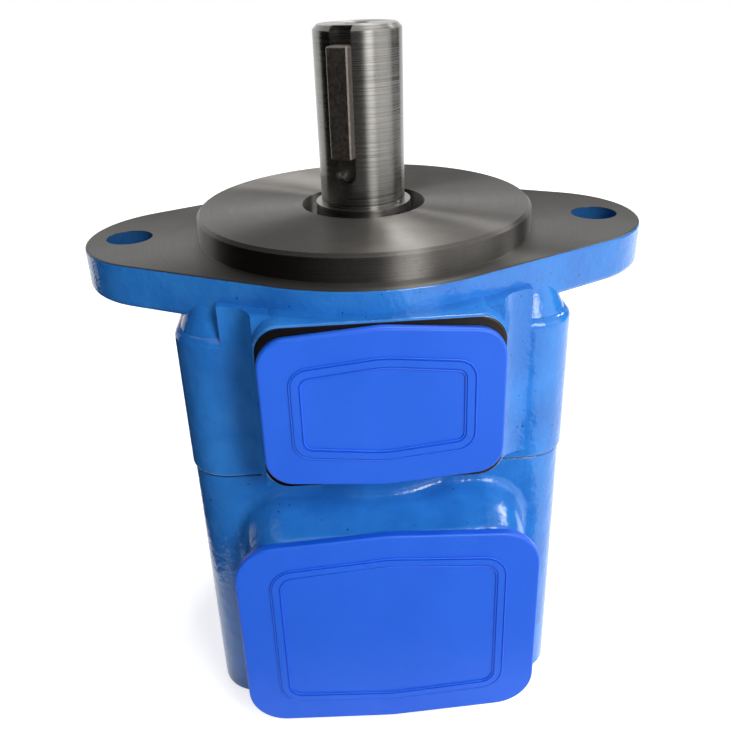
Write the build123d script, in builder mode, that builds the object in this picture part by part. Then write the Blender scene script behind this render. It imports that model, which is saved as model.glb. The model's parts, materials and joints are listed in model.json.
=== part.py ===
from build123d import *
import math
import os

# Balanced intra-vane hydraulic pump, flange mounted, built as it comes apart on a bench.
# Frame: origin at the centre of the mounting face, drive shaft along +Z, mounting bolts
# along X, both ports facing -Y. Millimetres.

# ---- mounting flange and pilot
flange_thickness = 16.0
flange_core_radius = 70.8
ear_radius = 38.5
bolt_spacing = 181.0
bolt_hole_diameter = 17.5
ear_margin = 16.0
pilot_diameter = 127.0
pilot_height = 9.5
pilot_chamfer = 1.2
pilot_bore_diameter = 47.0
pilot_wall = 8.0
flange_lower_round = 3.0
flange_upper_round = 1.0

# ---- housing outline, shared by body and cover
barrel_wall = 7.3
column_x = 54.5
column_y = 40.5
column_radius = 16.0
outline_blend = 8.0
neck_height = 4.0
neck_inset = 2.4
neck_rise = 12.0
neck_taper = 24.0
shoulder_round = 3.5
cover_step = 0.8
joint_edge_round = 1.2
rear_edge_round = 2.2

# ---- ports
port_face_stand_out = 5.4
outlet_port_drop = 38.1
outlet_port_diameter = 31.75
outlet_bolt_x = 58.7
outlet_bolt_z = 30.2
outlet_tap_diameter = 9.4
outlet_tap_depth = 22.0
outlet_pad_width = 81.5
outlet_pad_height = 60.0
outlet_pad_corner = 9.0
inlet_port_gap = 58.0
inlet_port_diameter = 50.8
inlet_bolt_x = 77.8
inlet_bolt_z = 42.9
inlet_tap_diameter = 10.8
inlet_tap_depth = 23.0
inlet_pad_width = 103.0
inlet_pad_height = 84.0
inlet_pad_corner = 15.0
boss_root_distance = 48.0
boss_side_draft = 2.0
outlet_boss_slope = 1.5
outlet_edge_round = 1.2
outlet_apron_half_width = 53.0
outlet_apron_blend = 12.0
outlet_apron_end = 3.6
inlet_boss_slope = 10.0
inlet_boss_undercut = 2.0
inlet_edge_round = 3.0
inlet_root_blend = 4.0
root_search_margin = 1.0
mouth_relief = 0.7
mouth_depth = 6.0
inlet_bore_length = 15.0
inlet_throat_relief = 1.5

# ---- drive shaft
shaft_diameter = 31.75
shaft_extension = 73.0
shaft_chamfer = 1.6
centre_drill_radius = 4.5
collar_diameter = 36.0
collar_above_pilot = 1.0
bearing_bore_diameter = 35.0
shank_diameter = 32.0
spline_diameter = 30.0
spline_tooth_height = 1.6
spline_teeth = 12
spline_clearance = 0.08
tail_diameter = 22.0
tail_length = 21.0
tail_chamfer = 1.0
key_size = 7.94
key_length = 38.0
key_top_gap = 6.0
key_over_shaft = 3.43
key_edge_break = 0.5
key_direction = 244.5
keyway_overrun = 9.5

# ---- shaft seal
seal_diameter = 54.0
seal_height = 9.0
seal_shell = 1.5
seal_lip_clearance = 0.05
seal_spring_wire = 0.9
lip_web = 2.0
lip_wall = 1.0
lip_edge_height = 2.0

# ---- front ball bearing and its retaining rings
bearing_diameter = 72.0
bearing_width = 17.0
bearing_setback = 2.0
ball_diameter = 11.1
ball_count = 9
race_land = 4.5
ball_clearance = 0.08
cage_thickness = 2.6
cage_width = 14.0
race_edge_round = 1.0
housing_ring_thickness = 2.5
housing_ring_depth = 2.0
housing_ring_width = 6.0
shaft_ring_thickness = 1.6
shaft_ring_depth = 1.2
shaft_ring_width = 3.6
shaft_ring_margin = 2.0
ring_gap_angle = 24.0

# ---- pumping cartridge
ring_outer_diameter = 101.6
ring_width = 36.0
minor_radius = 39.0
lift = 4.5
dwell_half_angle = 18.0
cartridge_clearance = 2.4
rotor_radius = 38.4
rotor_side_clearance = 0.05
vane_count = 10
vane_thickness = 4.8
vane_height = 16.0
vane_side_clearance = 0.05
vane_start_angle = 9.0
vane_tip_round = 2.0
slot_root_radius = 3.0
slot_root_gap = 1.0
slot_overrun = 4.0
insert_width = 12.0
insert_height = 8.0
insert_clearance = 0.05
side_plate_thickness = 2.0
side_plate_diameter = 99.0
plate_shaft_clearance = 1.5
outlet_plate_thickness = 12.0
outlet_hub_diameter = 80.0
outlet_hub_height = 14.0
hub_clearance = 0.05
plate_float = 0.2
inlet_plate_thickness = 18.0
inlet_shelf_width = 6.0
hub_groove_width = 4.6
hub_groove_depth = 2.7
hub_groove_offset = 4.0
hub_seal_wire = 2.5
backup_ring_width = 1.4
window_inner_radius = 33.5
window_outer_radius = 42.5
window_half_angle = 20.0
outlet_window_angles = (45.0, 225.0)
inlet_window_angles = (135.0, -45.0)
pocket_depth = 5.0
blind_wall = 3.0
passage_radius = 31.0
passage_width = 9.0
bushing_wall = 3.0
bushing_clearance = 0.05
pin_diameter = 5.0
pin_angle = 16.0
pin_circle_radius = 46.0
pin_clearance = 0.05
screw_diameter = 5.0
screw_circle_radius = 45.6
screw_head_diameter = 8.5
screw_head_height = 5.0
screw_clearance = 0.3

# ---- outlet gallery in the body and chamber in the cover
gallery_height = 17.0
gallery_radius = 44.0
throat_width = 30.0
throat_length = 6.0
throat_corner = 3.0
end_gap = 1.2
spline_relief = 6.0
floor_margin = 1.6
floor_thickness = 25.0

# ---- cover joint
cover_bolt_diameter = 15.875
cover_bolt_clearance = 0.6
cover_bolt_engagement = 23.0
cover_bolt_tip_gap = 4.0
bolt_head_diameter = 23.8
bolt_head_height = 15.9
bolt_head_chamfer = 1.0
bolt_socket_size = 12.7
bolt_socket_depth = 8.0
counterbore_clearance = 0.8
counterbore_depth = 18.0
seal_land = 2.6
seal_wire = 2.6
seal_groove_depth = 2.3

# ---- plastic port covers
cap_thickness = 3.0
cap_stand_off = 0.4
cap_edge_round = 1.0
cap_peak = 3.0
cap_peak_blend = 40.0
cap_plug_wall = 1.5
cap_plug_depth = 5.0
cap_plug_clearance = 0.1
cap_bead_height = 0.5
cap_bead_width = 2.4
outlet_cap_width = 80.0
outlet_cap_height = 58.0
outlet_cap_corner = 10.0
outlet_bead_inset = 10.5
outlet_bead_corner = 6.0
inlet_cap_width = 110.5
inlet_cap_height = 88.5
inlet_cap_corner = 15.0
inlet_bead_inset = 13.0
inlet_bead_corner = 8.0
inlet_bead_squeeze = 5.5

# ---- how near its place an edge or corner is looked for
pick_margin = 0.01

# ---- levels worked out from the sizes above, from the shaft end towards the rear
port_face_distance = flange_core_radius + port_face_stand_out
pilot_z = pilot_height
seal_seat_z = pilot_z - pilot_wall
bearing_top_z = seal_seat_z - seal_height - bearing_setback
bearing_rear_z = bearing_top_z - bearing_width
housing_ring_z = bearing_rear_z - housing_ring_thickness
outlet_port_z = -outlet_port_drop
gallery_top_z = outlet_port_z + gallery_height / 2
gallery_rear_z = outlet_port_z - gallery_height / 2
hub_top_z = gallery_rear_z - end_gap
ledge_z = hub_top_z - outlet_hub_height
outlet_plate_z = ledge_z - plate_float
outlet_side_z = outlet_plate_z - outlet_plate_thickness
ring_top_z = outlet_side_z - side_plate_thickness
ring_rear_z = ring_top_z - ring_width
inlet_plate_z = ring_rear_z - side_plate_thickness
shelf_z = inlet_plate_z - inlet_plate_thickness
joint_z = outlet_side_z - end_gap
inlet_port_z = joint_z - inlet_port_gap
chamber_floor_z = inlet_port_z - inlet_port_diameter / 2 - floor_margin
rear_z = chamber_floor_z - floor_thickness
bolt_seat_z = rear_z + counterbore_depth
bolt_tip_z = joint_z + cover_bolt_engagement
shoulder_z = -flange_thickness - neck_height
shank_top_z = bearing_rear_z - shaft_ring_thickness - shaft_ring_margin
spline_top_z = outlet_side_z + spline_relief
tail_end_z = inlet_plate_z - tail_length
keyway_end_z = shaft_extension - key_top_gap - key_length - keyway_overrun

cavity_radius = ring_outer_diameter / 2 + cartridge_clearance
barrel_radius = cavity_radius + barrel_wall
seal_groove_radius = cavity_radius + seal_land
throat_start = gallery_radius + throat_length
inlet_throat_start = port_face_distance - mouth_depth - inlet_bore_length
pitch_radius = (bearing_diameter + bearing_bore_diameter) / 4
outlet_apron_front = column_y + column_radius + outlet_apron_blend
ear_offset = bolt_spacing / 2 + ear_margin - ear_radius
window_radius = (window_inner_radius + window_outer_radius) / 2
window_width = window_outer_radius - window_inner_radius
vane_angles = [vane_start_angle + 360.0 / vane_count * i for i in range(vane_count)]
vane_base_radius = rotor_radius - vane_height
screw_angles = (0.0, 180.0)
pin_angles = (pin_angle, 180.0 + pin_angle)
column_places = [(column_x, column_y), (-column_x, column_y), (column_x, -column_y), (-column_x, -column_y)]


def port_plane(distance, z):
    """Plane across a port, its normal towards -Y, its own x along X and y along Z."""
    return Plane(origin=(0, -distance, z), x_dir=(1, 0, 0), z_dir=(0, -1, 0))


def polar(radius, angle):
    """Point on the XY plane at a radius and an angle in degrees."""
    return (radius * math.cos(math.radians(angle)), radius * math.sin(math.radians(angle)))


def cam_radius(angle):
    """Radius of the cam bore: dwell, smooth ramp, dwell, twice in a turn."""
    folded = abs((angle + 90.0) % 180.0 - 90.0)
    ramp = 90.0 - 2 * dwell_half_angle
    share = min(max((folded - dwell_half_angle) / ramp, 0.0), 1.0)
    return minor_radius + lift * share * share * (3 - 2 * share)


def housing_outline(inset):
    """Four bolt columns joined by flat walls, with the round barrel showing front and back."""
    RectangleRounded(2 * (column_x + column_radius - inset), 2 * (column_y + column_radius - inset),
                     column_radius - inset)
    Circle(barrel_radius - inset)
    creases = [spot for spot in vertices() if abs(spot.center().length - barrel_radius + inset) < pick_margin]
    fillet(creases, outline_blend)


def port_face_edges(casting):
    """Edges round a port's flat face."""
    return casting.edges().filter_by_position(Axis.Y, -port_face_distance - pick_margin,
                                              -port_face_distance + pick_margin)


def boss_root_edges(casting, low, high):
    """Edges where a port boss grows out of the housing's front wall, between two levels."""
    wall_front = column_y + column_radius
    near_wall = casting.edges().filter_by_position(Axis.Y, -barrel_radius - root_search_margin,
                                                   -wall_front + root_search_margin)
    return [edge for edge in near_wall
            if low < edge.center().Z < high and abs(edge.center().X) < column_x - root_search_margin]


def cap_outline(width, height, peak, corner):
    """Six-sided outline with rounded corners and a low peak at top and bottom."""
    side = height / 2 - peak
    with BuildLine() as border:
        Polyline(
            (-width / 2, side), (0, height / 2), (width / 2, side),
            (width / 2, -side), (0, -height / 2), (-width / 2, -side), close=True,
        )
    make_face(border.edges())
    fillet(vertices().group_by(Axis.X)[0] + vertices().group_by(Axis.X)[-1], corner)
    peaks = [spot for spot in vertices() if abs(spot.X) < pick_margin]
    fillet(peaks, cap_peak_blend)


# ---- mounting body: flange, pilot, bearing housing and outlet port in one casting
with BuildPart() as mounting_body:
    with BuildSketch(Plane.XY.offset(-flange_thickness)):
        Circle(flange_core_radius)
        with Locations((-ear_offset, 0), (ear_offset, 0)):
            Circle(ear_radius)
        make_hull()
    extrude(amount=flange_thickness)
    fillet(mounting_body.edges().group_by(Axis.Z)[0], flange_lower_round)
    fillet(mounting_body.edges().group_by(Axis.Z)[-1], flange_upper_round)
    with BuildSketch(Plane.XY.offset(joint_z)):
        housing_outline(0)
    extrude(amount=shoulder_z - joint_z)
    fillet(mounting_body.edges().group_by(Axis.Z)[0], joint_edge_round)
    shoulder = mounting_body.edges().filter_by_position(Axis.Z, shoulder_z - pick_margin,
                                                        shoulder_z + pick_margin)
    fillet(shoulder, shoulder_round)
    with BuildSketch(Plane.XY.offset(shoulder_z - shoulder_round)):
        housing_outline(neck_inset)
    extrude(amount=shoulder_round)
    with BuildSketch(Plane.XY.offset(shoulder_z)):
        housing_outline(neck_inset)
    extrude(amount=neck_rise, taper=neck_taper)
    with BuildSketch(port_plane(port_face_distance, outlet_port_z)):
        RectangleRounded(outlet_pad_width, outlet_pad_height, outlet_pad_corner)
    with BuildSketch(port_plane(boss_root_distance, outlet_port_z)):
        RectangleRounded(outlet_pad_width + 2 * boss_side_draft, outlet_pad_height + 2 * outlet_boss_slope,
                         outlet_pad_corner + boss_side_draft)
    loft()
    # concave flanks that carry the outlet boss into the two front columns
    with BuildSketch(Plane.XY.offset(joint_z + outlet_apron_end)):
        with Locations((0, -outlet_apron_front / 2)):
            Rectangle(2 * outlet_apron_half_width, outlet_apron_front)
        with Locations((-outlet_apron_half_width, -outlet_apron_front),
                       (outlet_apron_half_width, -outlet_apron_front)):
            Circle(outlet_apron_blend, mode=Mode.SUBTRACT)
    extrude(amount=outlet_port_z + outlet_pad_height / 2 - joint_z - outlet_apron_end)
    fillet(port_face_edges(mounting_body), outlet_edge_round)
    with BuildSketch():
        Circle(pilot_diameter / 2)
    extrude(amount=pilot_height)
    chamfer(mounting_body.edges().group_by(Axis.Z)[-1], pilot_chamfer)
    # stepped bore for seal, bearing, retaining ring, gallery and cartridge
    for radius, top, bottom in (
        (pilot_bore_diameter / 2, pilot_z, seal_seat_z),
        (seal_diameter / 2, seal_seat_z, bearing_top_z),
        (bearing_diameter / 2, bearing_top_z, hub_top_z),
        (bearing_diameter / 2 + housing_ring_depth, bearing_rear_z, housing_ring_z),
        (gallery_radius, gallery_top_z, gallery_rear_z),
        (outlet_hub_diameter / 2, gallery_rear_z, ledge_z),
        (cavity_radius, ledge_z, joint_z),
    ):
        with BuildSketch(Plane.XY.offset(bottom)):
            Circle(radius)
        extrude(amount=top - bottom, mode=Mode.SUBTRACT)
    # outlet port: plug relief, bore, and an oblong throat into the gallery
    with BuildSketch(port_plane(port_face_distance, outlet_port_z)):
        Circle(outlet_port_diameter / 2 + mouth_relief)
    extrude(amount=-mouth_depth, mode=Mode.SUBTRACT)
    with BuildSketch(port_plane(port_face_distance, outlet_port_z)):
        Circle(outlet_port_diameter / 2)
    extrude(amount=-(port_face_distance - throat_start), mode=Mode.SUBTRACT)
    with BuildSketch(port_plane(throat_start, outlet_port_z)):
        RectangleRounded(throat_width, gallery_height, throat_corner)
    extrude(amount=-throat_start / 2, mode=Mode.SUBTRACT)
    with BuildSketch(port_plane(port_face_distance, outlet_port_z)):
        with GridLocations(outlet_bolt_x, outlet_bolt_z, 2, 2):
            Circle(outlet_tap_diameter / 2)
    extrude(amount=-outlet_tap_depth, mode=Mode.SUBTRACT)
    with BuildSketch(Plane.XY.offset(-flange_thickness)):
        with Locations((-bolt_spacing / 2, 0), (bolt_spacing / 2, 0)):
            Circle(bolt_hole_diameter / 2)
    extrude(amount=flange_thickness, mode=Mode.SUBTRACT)
    with BuildSketch(Plane.XY.offset(joint_z)):
        with Locations(*column_places):
            Circle(cover_bolt_diameter / 2)
    extrude(amount=cover_bolt_engagement + cover_bolt_tip_gap, mode=Mode.SUBTRACT)
mounting_body.part.label = "mounting_body"

# ---- inlet cover: rear casting that holds the cartridge and carries the inlet port
with BuildPart() as inlet_cover:
    with BuildSketch(Plane.XY.offset(rear_z)):
        housing_outline(cover_step)
    extrude(amount=joint_z - rear_z)
    fillet(inlet_cover.edges().group_by(Axis.Z)[0], rear_edge_round)
    fillet(inlet_cover.edges().group_by(Axis.Z)[-1], joint_edge_round)
    with BuildSketch(port_plane(port_face_distance, inlet_port_z)):
        RectangleRounded(inlet_pad_width, inlet_pad_height, inlet_pad_corner)
    with BuildSketch(port_plane(boss_root_distance,
                                inlet_port_z + (inlet_boss_slope - inlet_boss_undercut) / 2)):
        RectangleRounded(inlet_pad_width + 2 * boss_side_draft,
                         inlet_pad_height + inlet_boss_slope + inlet_boss_undercut,
                         inlet_pad_corner + boss_side_draft)
    loft()
    fillet(port_face_edges(inlet_cover), inlet_edge_round)
    roots = boss_root_edges(inlet_cover, rear_z + inlet_root_blend, joint_z - inlet_root_blend)
    fillet(roots, inlet_root_blend)
    for radius, top, bottom in (
        (cavity_radius, joint_z, shelf_z),
        (cavity_radius - inlet_shelf_width, shelf_z, chamber_floor_z),
    ):
        with BuildSketch(Plane.XY.offset(bottom)):
            Circle(radius)
        extrude(amount=top - bottom, mode=Mode.SUBTRACT)
    with BuildSketch(port_plane(port_face_distance, inlet_port_z)):
        Circle(inlet_port_diameter / 2 + mouth_relief)
    extrude(amount=-mouth_depth, mode=Mode.SUBTRACT)
    with BuildSketch(port_plane(port_face_distance, inlet_port_z)):
        Circle(inlet_port_diameter / 2)
    extrude(amount=-mouth_depth - inlet_bore_length, mode=Mode.SUBTRACT)
    with BuildSketch(port_plane(inlet_throat_start, inlet_port_z)):
        Circle(inlet_port_diameter / 2 + inlet_throat_relief)
    extrude(amount=cavity_radius / 2 - inlet_throat_start, mode=Mode.SUBTRACT)
    with BuildSketch(port_plane(port_face_distance, inlet_port_z)):
        with GridLocations(inlet_bolt_x, inlet_bolt_z, 2, 2):
            Circle(inlet_tap_diameter / 2)
    extrude(amount=-inlet_tap_depth, mode=Mode.SUBTRACT)
    with BuildSketch(Plane.XY.offset(rear_z)):
        with Locations(*column_places):
            Circle((cover_bolt_diameter + cover_bolt_clearance) / 2)
    extrude(amount=joint_z - rear_z, mode=Mode.SUBTRACT)
    with BuildSketch(Plane.XY.offset(rear_z)):
        with Locations(*column_places):
            Circle(bolt_head_diameter / 2 + counterbore_clearance)
    extrude(amount=counterbore_depth, mode=Mode.SUBTRACT)
    with BuildSketch(Plane.XY.offset(joint_z - seal_groove_depth)):
        Circle(seal_groove_radius + seal_wire / 2)
        Circle(seal_groove_radius - seal_wire / 2, mode=Mode.SUBTRACT)
    extrude(amount=seal_groove_depth, mode=Mode.SUBTRACT)
inlet_cover.part.label = "inlet_cover"

# ---- flat-sided seal that fills the groove in the cover's joint face
with BuildPart() as cover_seal:
    with BuildSketch(Plane.XY.offset(joint_z - seal_groove_depth)):
        Circle(seal_groove_radius + seal_wire / 2)
        Circle(seal_groove_radius - seal_wire / 2, mode=Mode.SUBTRACT)
    extrude(amount=seal_groove_depth)
cover_seal.part.label = "cover_seal"

# ---- four socket-head screws that enter from the rear and clamp cover to body
with BuildPart() as cover_bolts:
    with BuildSketch(Plane.XY.offset(bolt_seat_z)):
        with Locations(*column_places):
            Circle(cover_bolt_diameter / 2)
    extrude(amount=bolt_tip_z - bolt_seat_z)
    with BuildSketch(Plane.XY.offset(bolt_seat_z - bolt_head_height)):
        with Locations(*column_places):
            Circle(bolt_head_diameter / 2)
    extrude(amount=bolt_head_height)
    chamfer(cover_bolts.edges().group_by(Axis.Z)[0], bolt_head_chamfer)
    with BuildSketch(Plane.XY.offset(bolt_seat_z - bolt_head_height)):
        with Locations(*column_places):
            RegularPolygon(bolt_socket_size / 2, 6, major_radius=False)
    extrude(amount=bolt_socket_depth, mode=Mode.SUBTRACT)
cover_bolts.part.label = "cover_bolts"

# ---- drive shaft: keyed end, seal collar, bearing seat, shank, spline and tail journal
with BuildPart() as drive_shaft:
    for diameter, top, bottom in (
        (shaft_diameter, shaft_extension, pilot_z),
        (collar_diameter, pilot_z + collar_above_pilot, bearing_top_z),
        (bearing_bore_diameter, bearing_top_z, bearing_rear_z - shaft_ring_thickness - 2),
        (shank_diameter, shank_top_z, spline_top_z),
        (spline_diameter - 2 * spline_tooth_height, spline_top_z, inlet_plate_z),
        (tail_diameter, inlet_plate_z, tail_end_z),
    ):
        with BuildSketch(Plane.XY.offset(bottom)):
            Circle(diameter / 2)
        extrude(amount=top - bottom)
    chamfer(drive_shaft.edges().group_by(Axis.Z)[-1], shaft_chamfer)
    chamfer(drive_shaft.edges().group_by(Axis.Z)[0], tail_chamfer)
    with BuildSketch(Plane.XY.offset(inlet_plate_z)):
        with PolarLocations(spline_diameter / 2 - spline_tooth_height, spline_teeth):
            Rectangle(2 * spline_tooth_height, spline_diameter * math.pi / spline_teeth / 2)
    extrude(amount=spline_top_z - inlet_plate_z)
    # groove for the ring behind the bearing, centre drilling and keyway
    with BuildSketch(Plane.XY.offset(bearing_rear_z - shaft_ring_thickness)):
        Circle(bearing_bore_diameter / 2)
        Circle(bearing_bore_diameter / 2 - shaft_ring_depth, mode=Mode.SUBTRACT)
    extrude(amount=shaft_ring_thickness, mode=Mode.SUBTRACT)
    with Locations((0, 0, shaft_extension - centre_drill_radius / 2)):
        Cone(0, centre_drill_radius, centre_drill_radius, mode=Mode.SUBTRACT)
    keyway_floor = shaft_diameter / 2 + key_over_shaft - key_size
    keyway_middle = (keyway_end_z + shaft_extension) / 2
    with BuildSketch(Plane((0, 0, keyway_middle), x_dir=(0, 0, 1),
                           z_dir=(*polar(1, key_direction), 0)).offset(keyway_floor)):
        SlotOverall(shaft_extension - keyway_end_z, key_size)
        with Locations((key_size, 0)):
            Rectangle(shaft_extension - keyway_end_z, key_size)
    extrude(amount=shaft_diameter, mode=Mode.SUBTRACT)
drive_shaft.part.label = "drive_shaft"

# ---- square key lying in the keyway
key_middle = shaft_extension - key_top_gap - key_length / 2
with BuildPart() as shaft_key:
    with BuildSketch(Plane((0, 0, key_middle), x_dir=(0, 0, 1),
                           z_dir=(*polar(1, key_direction), 0)).offset(keyway_floor)):
        Rectangle(key_length, key_size)
    extrude(amount=key_size)
    chamfer(shaft_key.edges(), key_edge_break)
shaft_key.part.label = "shaft_key"

# ---- shaft seal: steel case, rubber lip and garter spring
lip_radius = collar_diameter / 2 + seal_lip_clearance
with BuildPart() as seal_case:
    with BuildSketch(Plane.XZ):
        with BuildLine():
            Polyline(
                (seal_diameter / 2, seal_seat_z),
                (seal_diameter / 2, seal_seat_z - seal_height),
                (seal_diameter / 2 - seal_shell, seal_seat_z - seal_height),
                (seal_diameter / 2 - seal_shell, seal_seat_z - seal_shell),
                (lip_radius + seal_shell, seal_seat_z - seal_shell),
                (lip_radius + seal_shell, seal_seat_z), close=True,
            )
        make_face()
    revolve(axis=Axis.Z)
seal_case.part.label = "seal_case"

lip_outer_radius = lip_radius + seal_shell + lip_wall
lip_edge_z = seal_seat_z - seal_height + lip_edge_height
with BuildPart() as seal_lip:
    with BuildSketch(Plane.XZ):
        with BuildLine():
            Polyline(
                (seal_diameter / 2 - seal_shell, seal_seat_z - seal_shell),
                (seal_diameter / 2 - seal_shell, seal_seat_z - seal_shell - lip_web),
                (lip_outer_radius, seal_seat_z - seal_shell - lip_web),
                (lip_outer_radius, seal_seat_z - seal_height),
                (lip_radius + seal_shell, seal_seat_z - seal_height),
                (lip_radius, lip_edge_z),
                (lip_radius + seal_shell, lip_edge_z + lip_edge_height),
                (lip_radius + seal_shell, seal_seat_z - seal_shell), close=True,
            )
        make_face()
    revolve(axis=Axis.Z)
seal_lip.part.label = "seal_lip"

with BuildPart() as seal_spring:
    with BuildSketch(Plane.XZ):
        with Locations((lip_outer_radius + seal_spring_wire, lip_edge_z)):
            Circle(seal_spring_wire)
    revolve(axis=Axis.Z)
seal_spring.part.label = "seal_spring"

# ---- front ball bearing
bearing_middle_z = (bearing_top_z + bearing_rear_z) / 2
groove_radius = ball_diameter / 2 + ball_clearance


def race(inner, outer):
    """Bearing race between two radii, with its ball groove cut by a torus."""
    with BuildSketch(Plane.XZ) as section:
        with Locations(((inner + outer) / 2, bearing_middle_z)):
            RectangleRounded(outer - inner, bearing_width, race_edge_round)
        with Locations((pitch_radius, bearing_middle_z)):
            Circle(groove_radius, mode=Mode.SUBTRACT)
    revolve(section.sketch, axis=Axis.Z)


with BuildPart() as bearing_outer_race:
    race(pitch_radius + race_land, bearing_diameter / 2)
bearing_outer_race.part.label = "bearing_outer_race"

with BuildPart() as bearing_inner_race:
    race(bearing_bore_diameter / 2, pitch_radius - race_land)
bearing_inner_race.part.label = "bearing_inner_race"

with BuildPart(Plane.XY.offset(bearing_middle_z)) as bearing_balls:
    with PolarLocations(pitch_radius, ball_count):
        Sphere(ball_diameter / 2)
bearing_balls.part.label = "bearing_balls"

with BuildPart(Plane.XY.offset(bearing_middle_z)) as bearing_cage:
    Cylinder(pitch_radius + cage_thickness / 2, cage_width)
    Cylinder(pitch_radius - cage_thickness / 2, cage_width, mode=Mode.SUBTRACT)
    with PolarLocations(pitch_radius, ball_count):
        Cylinder(groove_radius, 3 * cage_thickness, rotation=(0, 90, 0), mode=Mode.SUBTRACT)
bearing_cage.part.label = "bearing_cage"


def retaining_ring(inner, outer, z, thickness):
    """Open ring seated in a groove, its gap on the -X side."""
    with BuildSketch(Plane.XY.offset(z)) as outline:
        Circle(outer)
        Circle(inner, mode=Mode.SUBTRACT)
        with BuildLine():
            Polyline((0, 0), polar(2 * outer, 180 - ring_gap_angle / 2),
                     polar(2 * outer, 180 + ring_gap_angle / 2), close=True)
        make_face(mode=Mode.SUBTRACT)
    extrude(outline.sketch, amount=thickness)


with BuildPart() as bearing_retaining_ring:
    retaining_ring(bearing_diameter / 2 + housing_ring_depth - housing_ring_width,
                   bearing_diameter / 2 + housing_ring_depth, housing_ring_z, housing_ring_thickness)
bearing_retaining_ring.part.label = "bearing_retaining_ring"

with BuildPart() as shaft_retaining_ring:
    retaining_ring(bearing_bore_diameter / 2 - shaft_ring_depth,
                   bearing_bore_diameter / 2 - shaft_ring_depth + shaft_ring_width,
                   bearing_rear_z - shaft_ring_thickness, shaft_ring_thickness)
shaft_retaining_ring.part.label = "shaft_retaining_ring"


# ---- cartridge
def kidney_windows(z, angles, depth):
    """Cut curved windows through a plate from height z downwards."""
    with BuildSketch(Plane.XY.offset(z)) as windows:
        for angle in angles:
            SlotArc(CenterArc((0, 0), window_radius, angle - window_half_angle, 2 * window_half_angle),
                    window_width)
    extrude(windows.sketch, amount=-depth, mode=Mode.SUBTRACT)


def pin_holes(top, bottom):
    """Bore the two dowel holes of a cartridge piece between two levels."""
    with BuildSketch(Plane.XY.offset(bottom)) as holes:
        with Locations(*[polar(pin_circle_radius, angle) for angle in pin_angles]):
            Circle(pin_diameter / 2 + pin_clearance)
    extrude(holes.sketch, amount=top - bottom, mode=Mode.SUBTRACT)


def screw_holes(top, bottom, diameter):
    """Bore the two screw holes of a cartridge piece between two levels."""
    with BuildSketch(Plane.XY.offset(bottom)) as holes:
        with Locations(*[polar(screw_circle_radius, angle) for angle in screw_angles]):
            Circle(diameter / 2)
    extrude(holes.sketch, amount=top - bottom, mode=Mode.SUBTRACT)


def radial_plane(angle):
    """Plane through the shaft axis and the rotor's middle, its own x outwards at an angle."""
    return Plane((0, 0, rotor_z + rotor_width / 2), x_dir=(*polar(1, angle), 0),
                 z_dir=(*polar(1, angle + 90), 0))


screw_hole = screw_diameter + 2 * screw_clearance
plate_bore = shank_diameter / 2 + plate_shaft_clearance
hub_groove_z = outlet_plate_z + outlet_hub_height - hub_groove_offset - hub_groove_width

with BuildPart() as outlet_support_plate:
    with BuildSketch(Plane.XY.offset(outlet_side_z)):
        Circle(ring_outer_diameter / 2)
    extrude(amount=outlet_plate_thickness)
    with BuildSketch(Plane.XY.offset(outlet_plate_z)):
        Circle(outlet_hub_diameter / 2 - hub_clearance)
    extrude(amount=outlet_hub_height)
    with BuildSketch(Plane.XY.offset(outlet_side_z)):
        Circle(plate_bore)
    extrude(amount=outlet_plate_thickness + outlet_hub_height, mode=Mode.SUBTRACT)
    with BuildSketch(Plane.XY.offset(hub_groove_z)):
        Circle(outlet_hub_diameter / 2)
        Circle(outlet_hub_diameter / 2 - hub_clearance - hub_groove_depth, mode=Mode.SUBTRACT)
    extrude(amount=hub_groove_width, mode=Mode.SUBTRACT)
    kidney_windows(outlet_plate_z - blind_wall, outlet_window_angles, outlet_plate_thickness - blind_wall)
    with BuildSketch(Plane.XY.offset(outlet_plate_z + outlet_hub_height)):
        for angle in outlet_window_angles:
            SlotArc(CenterArc((0, 0), passage_radius, angle - window_half_angle, 2 * window_half_angle),
                    passage_width)
    extrude(amount=-outlet_plate_thickness - outlet_hub_height + pocket_depth, mode=Mode.SUBTRACT)
    kidney_windows(outlet_side_z + pocket_depth, inlet_window_angles, pocket_depth)
    pin_holes(outlet_plate_z - blind_wall, outlet_side_z)
    screw_holes(outlet_plate_z - blind_wall, outlet_side_z, screw_diameter)
outlet_support_plate.part.label = "outlet_support_plate"

with BuildPart() as outlet_plate_seal:
    with BuildSketch(Plane.XZ):
        with Locations((outlet_hub_diameter / 2 - hub_clearance - hub_seal_wire / 2,
                        hub_groove_z + hub_seal_wire / 2)):
            Circle(hub_seal_wire / 2)
    revolve(axis=Axis.Z)
outlet_plate_seal.part.label = "outlet_plate_seal"

with BuildPart() as outlet_plate_backup_ring:
    with BuildSketch(Plane.XY.offset(hub_groove_z + hub_groove_width - backup_ring_width)):
        Circle(outlet_hub_diameter / 2 - hub_clearance)
        Circle(outlet_hub_diameter / 2 - hub_clearance - hub_groove_depth, mode=Mode.SUBTRACT)
    extrude(amount=backup_ring_width)
outlet_plate_backup_ring.part.label = "outlet_plate_backup_ring"


def side_plate(z):
    """Thin bronze-faced disc that seals one side of the rotor, with all four windows."""
    with BuildSketch(Plane.XY.offset(z)) as disc:
        Circle(side_plate_diameter / 2)
        Circle(plate_bore, mode=Mode.SUBTRACT)
    extrude(disc.sketch, amount=side_plate_thickness)
    kidney_windows(z + side_plate_thickness, outlet_window_angles + inlet_window_angles,
                   side_plate_thickness)
    pin_holes(z + side_plate_thickness, z)
    screw_holes(z + side_plate_thickness, z, screw_hole)


with BuildPart() as outlet_side_plate:
    side_plate(ring_top_z)
outlet_side_plate.part.label = "outlet_side_plate"

with BuildPart() as inlet_side_plate:
    side_plate(inlet_plate_z)
inlet_side_plate.part.label = "inlet_side_plate"

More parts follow.
